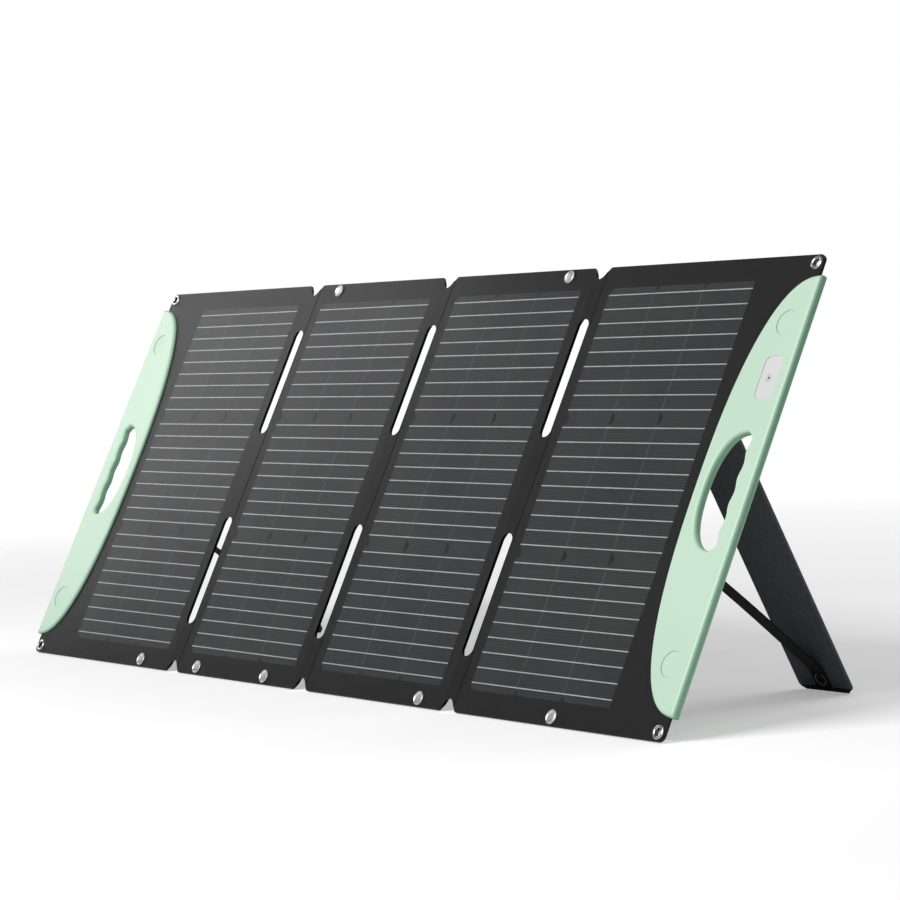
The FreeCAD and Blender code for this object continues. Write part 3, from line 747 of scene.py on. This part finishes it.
def make_eyelets(side):
    """Two rolled eyelets at one end of the sheet."""
    leaf, _, sign = ENDS[side]
    x = sign * (SHEET_HALF_W - EYELET_AT[0])
    heights = (EYELET_AT[1], SHEET_H - EYELET_AT[1])
    bm = bmesh.new()
    for v in heights:
        lathe(bm, eyelet_profile(), (x, v, 0), 56, closed=True)
    piece = add_piece("rolled_eyelets_" + side, bm, "eyelet", smooth_deg=60)
    # Faces inside each hole take the darker metal: painted shade in the hole.
    piece.data.materials.append(MATERIALS["eyelet_hole_shade"])
    for face in piece.data.polygons:
        place = TO_FLAT @ face.center
        from_hole = min(math.hypot(place.x - x, place.y - v) for v in heights)
        if from_hole < EYELET_HOLE_R + 0.15:
            face.material_index = 1
    settle(piece, leaf, "eyelet_metal", "corner_eyelets_" + side)


def make_studs(leaf):
    """Press-stud caps in front and their sockets behind."""
    bm = bmesh.new()
    for x, v in STUDS[leaf]:
        lathe(bm, STUD_CAP, (x, v, 0), 48)
        lathe(bm, STUD_SOCKET, (x, v, W_BACK), 40)
    piece = add_piece("press_stud_caps_" + leaf, bm, "stud", smooth_deg=50)
    settle(piece, leaf, "stud_metal", "press_studs_" + leaf)


for end_name in ENDS:
    make_eyelets(end_name)
for leaf_name in LEAVES:
    make_studs(leaf_name)


# ---------------------------------------------------------------- handles
HANDLE_X = 695.5
HANDLE_REACH = 89.5
HANDLE_HALF_H = 255.0
HANDLE_FACE_W = 4.0
HANDLE_REAR_W = W_BACK - 4.0
HANDLE_ROUNDING = 4.5
GRIP_OUTER = 26.0
GRIP_INNER = 72.5
GRIP_HALF_H = 68.0
GRIP_CORNER = 6.0
GRIP_FINGERS = 4
GRIP_WAVE = 1.3
CAP_AT = (29.5, 198.0)
CAP_POCKET_R = 15.0
CAP_POCKET_FLOOR = 2.0
DIAL_AT = (29.0, 132.5)
DIAL_SIZE = (26.5, 52.0)
DIAL_CORNER_R = 9.0
DIAL_PLATE_W = span("dial_plate", OUT)
DISH = [(0, -0.30), (3.0, -0.30), (3.15, -0.22), (3.35, -0.22), (3.5, -0.30), (4.3, -0.26), (4.75, 0.02),
        (4.78, -0.6), (0, -0.6)]
SIGHT_PIN = [(0, 0.36), (0.8, 0.30), (1.25, 0.0), (1.35, -0.5), (0, -0.5)]
SCREWS_AT = [(inward, sign * up) for inward, up in ((12.0, 215.0), (12.0, 100.0), (77.0, 95.0))
             for sign in (-1, 1)]
SCREW_WELL_R = 3.2
SCREW_WELL_FLOOR = -6.05


def superellipse(reach, half_h, exponent, count):
    """Points (inward, up) from the lower end of a D curve to its upper end."""
    angles = [math.pi * (i / count - 0.5) for i in range(count + 1)]
    power = 2.0 / exponent
    return [(reach * abs(math.cos(t)) ** power, half_h * math.copysign(abs(math.sin(t)) ** power, t))
            for t in angles]


def handle_outline():
    """The handle's D: its curved inner side, then its straight outer edge."""
    straight = [(0.0, HANDLE_HALF_H * (1.0 - 2.0 * i / 80)) for i in range(1, 80)]
    return superellipse(HANDLE_REACH, HANDLE_HALF_H, 2.4, 110) + straight


def grip_outline():
    """The finger hole: a curved inner side and an outer side with four finger scallops."""
    curve = [(GRIP_OUTER + GRIP_CORNER + inward, up)
             for inward, up in superellipse(GRIP_INNER - GRIP_OUTER - GRIP_CORNER, GRIP_HALF_H, 2.3, 24)]
    wave = []
    for i in range(8 * GRIP_FINGERS + 1):
        share = i / (8 * GRIP_FINGERS)
        up = (GRIP_HALF_H - GRIP_CORNER) * (1.0 - 2.0 * share)
        wave.append((GRIP_OUTER - GRIP_WAVE * math.cos(2.0 * math.pi * GRIP_FINGERS * share), up))
    knots = curve + wave
    knots = [knots[-1]] + knots + knots[:2]
    loop = []
    for k in range(1, len(knots) - 2):
        loop += smooth_path(knots[k - 1:k + 3], 4)[4:8]
    return loop


def circle_outline(inward, up, radius, count=56):
    """A circle in the handle's (inward, up) plane."""
    angles = [2 * math.pi * k / count for k in range(count)]
    return [(inward + radius * math.cos(t), up + radius * math.sin(t)) for t in angles]


def round_rectangle(inward, up, width, height, radius, per_corner=10):
    """A rectangle with round corners in the handle's (inward, up) plane."""
    points = []
    for quarter, (sx, sy) in enumerate(((1, 1), (-1, 1), (-1, -1), (1, -1))):
        for k in range(per_corner + 1):
            t = math.pi / 2 * (quarter + k / per_corner)
            points.append((inward + sx * (width / 2 - radius) + radius * math.cos(t),
                           up + sy * (height / 2 - radius) + radius * math.sin(t)))
    return points


def inset_loop(points, distance):
    """An anticlockwise loop moved towards its inside, or outwards when the distance is negative."""
    moved = []
    for i, point in enumerate(points):
        here = Vector(point)
        before = (here - Vector(points[i - 1])).normalized()
        after = (Vector(points[(i + 1) % len(points)]) - here).normalized()
        normal = Vector((-before.y - after.y, before.x + after.x)).normalized()
        stretch = 1.0 / max(0.5, normal.dot(Vector((-before.y, before.x))))
        moved.append(here + normal * distance * stretch)
    return moved


def wall(bm, side, outline, profile, sense=1.0):
    """Rings of an outline at each (inset, w) of a profile. Returns the first and the last ring."""
    sign = ENDS[side][2]
    rows = []
    for inset, w in profile:
        rows.append([bm.verts.new((sign * (HANDLE_X - point.x), SHEET_H / 2 + point.y, w))
                     for point in inset_loop(outline, sense * inset)])
    join_rings(bm, rows)
    return rows[0], rows[-1]


def fill_face(bm, rings):
    """One flat face between an outer ring and the rings of its holes."""
    edges = [bm.edges.get((a, b)) for ring in rings for a, b in zip(ring, ring[1:] + ring[:1])]
    bmesh.ops.triangle_fill(bm, use_beauty=True, use_dissolve=False, edges=edges, normal=(0, 0, 1))


def rounded_steps(face_w, radius, inward_sense, count=8):
    """(inset, w) from a face's edge round into its wall."""
    steps = []
    for k in range(count + 1):
        t = math.pi / 2 * k / count
        steps.append((radius * (1.0 - math.sin(t)), face_w - inward_sense * radius * (1.0 - math.cos(t))))
    return steps


def make_handle(side):
    """Both mouldings of a handle, with soft edges, a parting groove, pockets and screw wells."""
    leaf = ENDS[side][0]
    middle = W_BACK / 2
    groove = [(0.0, middle + 0.45), (0.35, middle), (0.0, middle - 0.45)]
    profile = (rounded_steps(HANDLE_FACE_W, HANDLE_ROUNDING, 1) + groove
               + rounded_steps(HANDLE_REAR_W, HANDLE_ROUNDING, -1)[::-1])
    bm = bmesh.new()
    fronts, rears = [], []
    for outline, sense in ((handle_outline(), 1.0), (grip_outline(), -1.0)):
        front, rear = wall(bm, side, outline, profile, sense)
        fronts.append(front)
        rears.append(rear)
    pockets = [(circle_outline(CAP_AT[0], sign * CAP_AT[1], CAP_POCKET_R), CAP_POCKET_FLOOR)
               for sign in (-1, 1)]
    if side == "right":
        pockets.append((round_rectangle(*DIAL_AT, *DIAL_SIZE, DIAL_CORNER_R), DIAL_PLATE_W[0] - 0.05))
    for outline, floor_w in pockets:
        steps = rounded_steps(HANDLE_FACE_W, 0.35, 1, 3) + [(0.0, floor_w)]
        rim, floor = wall(bm, side, outline, steps, -1.0)
        fronts.append(rim)
        bm.faces.new(floor)
    for inward, up in SCREWS_AT:
        outline = circle_outline(inward, up, SCREW_WELL_R, 28)
        steps = rounded_steps(HANDLE_REAR_W, 0.3, -1, 2) + [(0.0, SCREW_WELL_FLOOR)]
        rim, floor = wall(bm, side, outline, steps, -1.0)
        rears.append(rim)
        bm.faces.new(floor)
    fill_face(bm, fronts)
    fill_face(bm, rears)
    piece = add_piece("handle_moulding_" + side, bm, "handle_shell", smooth_deg=38)
    piece.modifiers.new("even_normals", "WEIGHTED_NORMAL").keep_sharp = True
    settle(piece, leaf, "handle_plastic", "handle_front_shell_" + side, "handle_back_shell_" + side)


def make_dial_sight():
    """Sighting dish with its printed ring, and the pin that casts the shadow."""
    x, v = HANDLE_X - DIAL_AT[0], SHEET_H / 2 + DIAL_AT[1]
    top = DIAL_PLATE_W[1]
    bm = bmesh.new()
    lathe(bm, DISH, (x, v, top), 48)
    dish = add_piece("dial_sight_dish", bm, "dial_dish", smooth_deg=40)
    settle(dish, "leaf_4", "dial_plastic", "dial_sight")
    bm = bmesh.new()
    lathe(bm, SIGHT_PIN, (x, v, top), 32)
    pin = add_piece("dial_sight_pin", bm, "dial_sight", smooth_deg=40)
    settle(pin, "leaf_4", "sight_plastic")


for end_name in ENDS:
    make_handle(end_name)
make_dial_sight()


# ---------------------------------------------------------------- painted glints of the cell edges, and row links, under the film
CELL_W = 83.0
CELL_H = 166.0
CELL_GAP_X = 0.75
CELL_GAP_V = 4.05
BLOCK_V = (SHEET_H - 3 * CELL_H - 2 * CELL_GAP_V) / 2
CHAMFER = 6.5


def block_start(leaf):
    """Where a leaf's block of cells begins along the panel."""
    return min((TO_FLAT @ Vector(corner)).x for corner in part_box("solar_cells_" + leaf))


def make_painted_edge_glints(leaf):
    """Painted highlight: pale strips between the columns stand in for the glint of the wafers' edges, and
    show as fine lines.
    """
    x0 = block_start(leaf)
    bm = bmesh.new()
    for column in (1, 2):
        x = x0 + column * (CELL_W + CELL_GAP_X) - CELL_GAP_X / 2
        for row in range(3):
            v = BLOCK_V + row * (CELL_H + CELL_GAP_V)
            slab(bm, (x - 0.5, x + 0.5), (v + CHAMFER, v + CELL_H - CHAMFER), (-0.46, -0.42))
    piece = add_piece("wafer_edges_" + leaf, bm, "wafer_edge")
    settle(piece, leaf, "silicon_cell")


def make_row_links(leaf):
    """Foil between the rows of wafers, in their own tone, that leaves their cut corners black."""
    x0 = block_start(leaf)
    bm = bmesh.new()
    for column in range(3):
        left = x0 + column * (CELL_W + CELL_GAP_X) + CHAMFER
        right = left - CHAMFER + CELL_W
        for row in (1, 2):
            v = BLOCK_V + row * (CELL_H + CELL_GAP_V)
            slab(bm, (left, right), (v - CELL_GAP_V, v), (-0.50, -0.44))
    piece = add_piece("row_links_" + leaf, bm, "solar_cells")
    settle(piece, leaf, "silicon_cell")


for leaf_name in LEAVES:
    make_painted_edge_glints(leaf_name)
    make_row_links(leaf_name)


# ---------------------------------------------------------------- kickstands
FLAP_HALF_W = 43.0
FLAP_HALF_T = 1.8
FLAP_FOOT_V = -384.6
HINGE_V = joint_at("stand_left_fold").y
PATCH_TOP_V = span("stand_hinge_patch_left", UP)[1]
PATCH_W = span("stand_hinge_patch_left", OUT)[0]
ANCHOR_V = span("strap_anchor_left", UP)
STRAP_HALF_W = 12.5
STRAP_T = 1.4
SNAP_RING = [(0, 1.25), (1.5, 1.22), (2.6, 0.95), (3.0, 0.45), (5.4, 0.40), (5.9, 0.90), (6.8, 1.38),
             (8.0, 1.45), (9.1, 1.20), (9.8, 0.60), (10.0, 0.0), (0, 0.0)]


def stand_x(side):
    """Middle of a kickstand along the panel, in the flat frame."""
    return joint_at("stand_%s_fold" % side).x


def snap_place():
    """How far below its hinge the flap's snap ring sits, from the CAD."""
    points = [v.co for v in frame["nodes"]["stand_snap_left"].data.vertices]
    centre = sum(points, Vector()) / len(points)
    return (FLAPS["left"].inverted() @ centre).y


SNAP_V = snap_place()


def make_snap(side):
    """Domed ring snap that holds the strap's lower end to the flap."""
    _, stand, _ = ENDS[side]
    bm = bmesh.new()
    lathe(bm, SNAP_RING, (0, SNAP_V, FLAP_HALF_T + 0.05), 56)
    lathe(bm, [(0, 0), (3.6, 0), (3.6, -0.5), (3.0, -0.9), (0, -0.9)], (0, SNAP_V, -FLAP_HALF_T), 32)
    piece = add_piece("strap_snap_" + side, bm, "snap", FLAPS[side], smooth_deg=50)
    settle(piece, stand, "snap_metal", "stand_snap_" + side)


def make_flap_binding(side):
    """Narrow woven tape folded over both long edges of the flap."""
    _, stand, _ = ENDS[side]
    front = [(-2.4, FLAP_HALF_T), (-2.2, FLAP_HALF_T + 0.16), (-0.5, FLAP_HALF_T + 0.18), (0.12, FLAP_HALF_T),
             (0.20, 0.9)]
    outline = front + [(x, -w) for x, w in front[::-1]]
    bm = bmesh.new()
    for sign in (-1, 1):
        rings = []
        for k in range(97):
            v = -3.0 + (FLAP_FOOT_V + 3.0) * k / 96
            ripple = 0.04 * math.sin(k * 1.9)
            rings.append([Vector((sign * (FLAP_HALF_W + x + ripple), v, w)) for x, w in outline])
        skin_rings(bm, rings)
    piece = add_piece("flap_binding_" + side, bm, "binding", FLAPS[side], smooth_deg=40)
    settle(piece, stand, "flap_board")


def make_flap_stitches(side):
    """Thread rows along the binding and through the hinge cloth."""
    _, stand, _ = ENDS[side]
    bm = bmesh.new()
    for face in (-1, 1):
        w = face * (FLAP_HALF_T + 0.18)
        for sign in (-1, 1):
            x = sign * (FLAP_HALF_W - 1.5)
            stitch_run(bm, [(x, -6.0, w), (x, FLAP_FOOT_V + 4.0, w)], 3.4, (0, 0, face))
    back_w = -FLAP_HALF_T - 0.95
    half = FLAP_HALF_W - 7.0
    for v in (-35.0, -31.0):
        stitch_run(bm, [(-half, v, back_w), (half, v, back_w)], 3.4)
    piece = add_piece("flap_stitching_" + side, bm, "thread_grey", FLAPS[side], smooth_deg=60)
    settle(piece, stand, "flap_board")


def make_hinge_cloth(side):
    """Cloth that joins the leaf's back to the flap's outer face and bends over the hinge."""
    path = smooth_path([(PATCH_TOP_V - 2.0, PATCH_W - 0.45), (HINGE_V + 16.0, PATCH_W - 0.45),
                        (HINGE_V + 6.0, PATCH_W - 0.6), (HINGE_V + 2.0, PATCH_W - 3.2),
                        flap_to_flat(-5.0, -FLAP_HALF_T - 0.9), flap_to_flat(-12.0, -FLAP_HALF_T - 0.5),
                        flap_to_flat(-38.0, -FLAP_HALF_T - 0.5)], 8)
    rings, uvs = band_rings(path, FLAP_HALF_W - 3.8, 0.9, 24)
    bm = bmesh.new()
    skin_rings(bm, shifted(rings, stand_x(side)))
    piece = add_piece("hinge_cloth_" + side, bm, "hinge_cloth", uvs=uvs, smooth_deg=50)
    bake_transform(piece)


def strap_path():
    """From the anchor on the leaf's back down to the snap, a little slack in the middle."""
    lie = PATCH_W - STRAP_T / 2
    high = Vector((ANCHOR_V[0] + 2.0, lie - 3.4))
    low = Vector(flap_to_flat(SNAP_V + 22.0, FLAP_HALF_T + 4.2))
    along = (low - high).normalized()
    upper = smooth_path([(ANCHOR_V[1] - 4.0, lie), (ANCHOR_V[0] + 20.0, lie), (ANCHOR_V[0] + 9.0, lie - 0.4),
                         tuple(high), tuple(high + along * 8.0)], 6)
    lower = smooth_path([tuple(low - along * 8.0), tuple(low), flap_to_flat(SNAP_V + 13.0, FLAP_HALF_T + 1.4),
                         flap_to_flat(SNAP_V + 5.0, FLAP_HALF_T + 0.72),
                         flap_to_flat(SNAP_V - 11.0, FLAP_HALF_T + 0.72)], 6)
    slack = Vector((-along.y, along.x)) * 2.5
    top, bottom = Vector(upper[-1]), Vector(lower[0])
    straight = [list(top.lerp(bottom, k / 30) + slack * math.sin(math.pi * k / 30)) for k in range(1, 30)]
    return upper + straight + lower


def make_strap(side):
    """Webbing strap that stops the flap."""
    leaf, _, _ = ENDS[side]
    rings, uvs = band_rings(strap_path(), STRAP_HALF_W, STRAP_T, 14)
    bm = bmesh.new()
    skin_rings(bm, shifted(rings, stand_x(side)))
    strap = add_piece("stand_webbing_" + side, bm, "webbing", uvs=uvs, smooth_deg=50)
    settle(strap, leaf, "strap_webbing", "stand_strap_" + side)
    x0, x1 = stand_x(side) - STRAP_HALF_W + 2.0, stand_x(side) + STRAP_HALF_W - 2.0
    v0, v1 = ANCHOR_V[0] + 22.0, ANCHOR_V[1] - 6.0
    w = PATCH_W - STRAP_T - 0.05
    bm = bmesh.new()
    corners = rectangle((x0, x1), (v0, v1), w)
    stitch_run(bm, corners + [corners[0], corners[2]], 2.8)
    stitch_run(bm, [(x0, v1, w), (x1, v0, w)], 2.8)
    box = add_piece("strap_box_stitch_" + side, bm, "thread_grey", smooth_deg=60)
    settle(box, leaf, "strap_webbing")
    for piece in (strap, box):
        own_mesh(piece)


for end_name in ENDS:
    make_snap(end_name)
    make_flap_binding(end_name)
    make_flap_stitches(end_name)
    make_hinge_cloth(end_name)
    make_strap(end_name)


# ---------------------------------------------------------------- sewing on the back
HEM_INSET = 5.5
FOLD_SEAM = 14.0
END_MARGIN = 22.0
LEAF_EDGES = {"leaf_1": (-SHEET_HALF_W + END_MARGIN, FOLD_AT["fold_left"].x),
              "leaf_2": (FOLD_AT["fold_left"].x, 0.0),
              "leaf_3": (0.0, FOLD_AT["fold_right"].x),
              "leaf_4": (FOLD_AT["fold_right"].x, SHEET_HALF_W - END_MARGIN)}


def make_back_sewing(leaf):
    """Hem rows along the top and bottom, and seams beside each fold."""
    x0, x1 = LEAF_EDGES[leaf]
    folds = [fold.x for fold in FOLD_AT.values()]
    left = x0 + (NOTCH_HALF + 3.0 if x0 in folds else 0.0)
    right = x1 - (NOTCH_HALF + 3.0 if x1 in folds else 0.0)
    w = W_BACK - 0.05
    bm = bmesh.new()
    for v in (HEM_INSET, HEM_INSET + 2.6, SHEET_H - HEM_INSET, SHEET_H - HEM_INSET - 2.6):
        stitch_run(bm, [(left, v, w), (right, v, w)], 4.0)
    for fold, sign in ((x0, 1), (x1, -1)):
        if fold in folds:
            x = fold + sign * FOLD_SEAM
            stitch_run(bm, [(x, 20.0, w), (x, SHEET_H - 20.0, w)], 4.0)
    piece = add_piece("back_hem_stitching_" + leaf, bm, "thread_black", smooth_deg=60)
    settle(piece, leaf, "back_fabric")


def make_patch_sewing(side):
    """Thread around the hinge patch and the strap's anchor patch."""
    leaf, _, _ = ENDS[side]
    x = stand_x(side)
    w = PATCH_W - 0.05
    bm = bmesh.new()
    half = STRAP_HALF_W + 2.4
    v0, v1 = ANCHOR_V[0] + 1.8, ANCHOR_V[1] - 1.8
    corners = rectangle((x - half, x + half), (v0, v1), w)
    stitch_run(bm, corners + corners[:1], 3.0)
    cloth = w - 0.9
    for v in (PATCH_TOP_V - 5.0, PATCH_TOP_V - 9.0):
        stitch_run(bm, [(x - FLAP_HALF_W + 7.0, v, cloth), (x + FLAP_HALF_W - 7.0, v, cloth)], 3.4)
    piece = add_piece("patch_stitching_" + side, bm, "thread_grey", smooth_deg=60)
    settle(piece, leaf, "patch_fabric")


for leaf_name in LEAVES:
    make_back_sewing(leaf_name)
for end_name in ENDS:
    make_patch_sewing(end_name)


# ---------------------------------------------------------------- junction box
LID_X = span("junction_box_lid", RIGHT)
LID_V = span("junction_box_lid", UP)
LID_W = span("junction_box_lid", OUT)
LID_RIBS = 9
LID_RIB_PITCH = 6.0


def make_lid_ribs():
    """Low cooling ribs across the middle of the junction box lid."""
    x_mid = (LID_X[0] + LID_X[1]) / 2
    v0, v1 = LID_V[0] + 8.0, LID_V[1] - 8.0
    bm = bmesh.new()
    for k in range(LID_RIBS):
        x = x_mid + (k - (LID_RIBS - 1) / 2) * LID_RIB_PITCH
        skin_rings(bm, [rectangle((x - half, x + half), (v0, v1), LID_W[0] + rise)
                        for half, rise in ((1.1, 0.1), (1.1, -0.5), (0.7, -0.8))])
    ribs = add_piece("junction_box_lid_ribs", bm, "box", smooth_deg=30)
    settle(ribs, "leaf_4", "box_plastic")


make_lid_ribs()


# ---------------------------------------------------------------- studio and camera
FLOOR_RADIUS = 2.9
FLOOR_GLOW = 0.32


def make_floor():
    """Pale floor that fades into the pale surroundings well away from the panel."""
    shader = Shader("floor_pale")
    coords = shader.node("ShaderNodeTexCoord")
    speckle = shader.noise(shader.flat_coords(), 3.0, 2.0)
    shader.colour(speckle, "Fac", [(0.3, grey(0.90)), (0.7, grey(0.94))])
    shader.set(Roughness=0.9, Specular_IOR_Level=0.2, Emission_Color=(1, 1, 1, 1))
    glow = shader.maths("MULTIPLY", (shader.node("ShaderNodeLightPath"), "Is Camera Ray"), FLOOR_GLOW)
    shader.link(glow, "Value", shader.bsdf, "Emission Strength")
    clear = shader.node("ShaderNodeBsdfTransparent")
    mix = shader.node("ShaderNodeMixShader")
    ball = shader.node("ShaderNodeTexGradient", gradient_type="SPHERICAL")
    size = shader.node("ShaderNodeMapping", vector_type="POINT")
    size.inputs["Scale"].default_value = (1 / FLOOR_RADIUS, 1 / FLOOR_RADIUS, 1.0)
    shader.link(coords, "Object", size, "Vector")
    shader.link(size, "Vector", ball, "Vector")
    fade = shader.ramp(ball, "Fac", [(0.0, (0, 0, 0)), (0.55, (1, 1, 1))])
    shader.link(fade, "Color", mix, "Fac")
    shader.tree.links.new(clear.outputs[0], mix.inputs[1])
    shader.tree.links.new(shader.bsdf.outputs[0], mix.inputs[2])
    shader.tree.links.new(mix.outputs[0], shader.output.inputs["Surface"])
    bpy.ops.mesh.primitive_plane_add(size=2.3 * FLOOR_RADIUS, location=(0, 0, -0.0005))
    floor = bpy.context.object
    floor.name = "studio_floor"
    floor.data.materials.append(shader.material)


def area_light(name, location, target, size, power):
    """A soft box aimed at a point."""
    light = bpy.data.lights.new(name, "AREA")
    light.shape = "RECTANGLE"
    light.size, light.size_y = size
    light.energy = power
    lamp = add_object(name, light)
    lamp.location = location
    lamp.rotation_euler = (Vector(target) - Vector(location)).to_track_quat("-Z", "Y").to_euler()
    return lamp


WORLD_SEEN = 1.0
WORLD_LIGHT = 0.20


def make_world():
    """White surroundings that light the object more softly than they look."""
    world = bpy.data.worlds.new("studio_world")
    bpy.context.scene.world = world
    world.use_nodes = True
    tree = world.node_tree
    background = tree.nodes["Background"]
    background.inputs["Color"].default_value = (1.0, 1.0, 1.0, 1.0)
    path = tree.nodes.new("ShaderNodeLightPath")
    level = tree.nodes.new("ShaderNodeMapRange")
    level.inputs["To Min"].default_value = WORLD_LIGHT
    level.inputs["To Max"].default_value = WORLD_SEEN
    tree.links.new(path.outputs["Is Camera Ray"], level.inputs["Value"])
    tree.links.new(level.outputs["Result"], background.inputs["Strength"])


def make_lights():
    """A large key in front, a weak fill behind, and a sheen from the left that only glosses reflect."""
    area_light("key_soft_box", (0.0, -3.25, 2.85), (0, 0, 0.25), (2.4, 2.0), 134.0)
    sheen = area_light("sheen_soft_box", (-3.1, -0.45, 1.55), (-0.4, 0, 0.35), (1.4, 1.5), 15.0)
    sheen.visible_diffuse = False
    area_light("back_soft_box", (0.6, 3.2, 2.8), (0, 0, 0.0), (2.6, 1.8), 30.0)


def make_camera():
    """Low three-quarter view from the panel's right, with a long lens."""
    location = Vector((2.9371, -2.0787, 0.4585))
    aim = Vector((0.0276, 0.0406, 0.2819))
    roll = math.radians(-2.703)
    data = bpy.data.cameras.new("camera")
    data.lens = 114.0
    data.sensor_width = 36.0
    camera = add_object("camera", data)
    turn = (aim - location).to_track_quat("-Z", "Y").to_matrix()
    camera.matrix_world = Matrix.Translation(location) @ (turn @ Matrix.Rotation(roll, 3, "Z")).to_4x4()
    bpy.context.scene.camera = camera


make_floor()
make_world()
make_lights()
make_camera()
bpy.context.scene.view_settings.view_transform = "Standard"
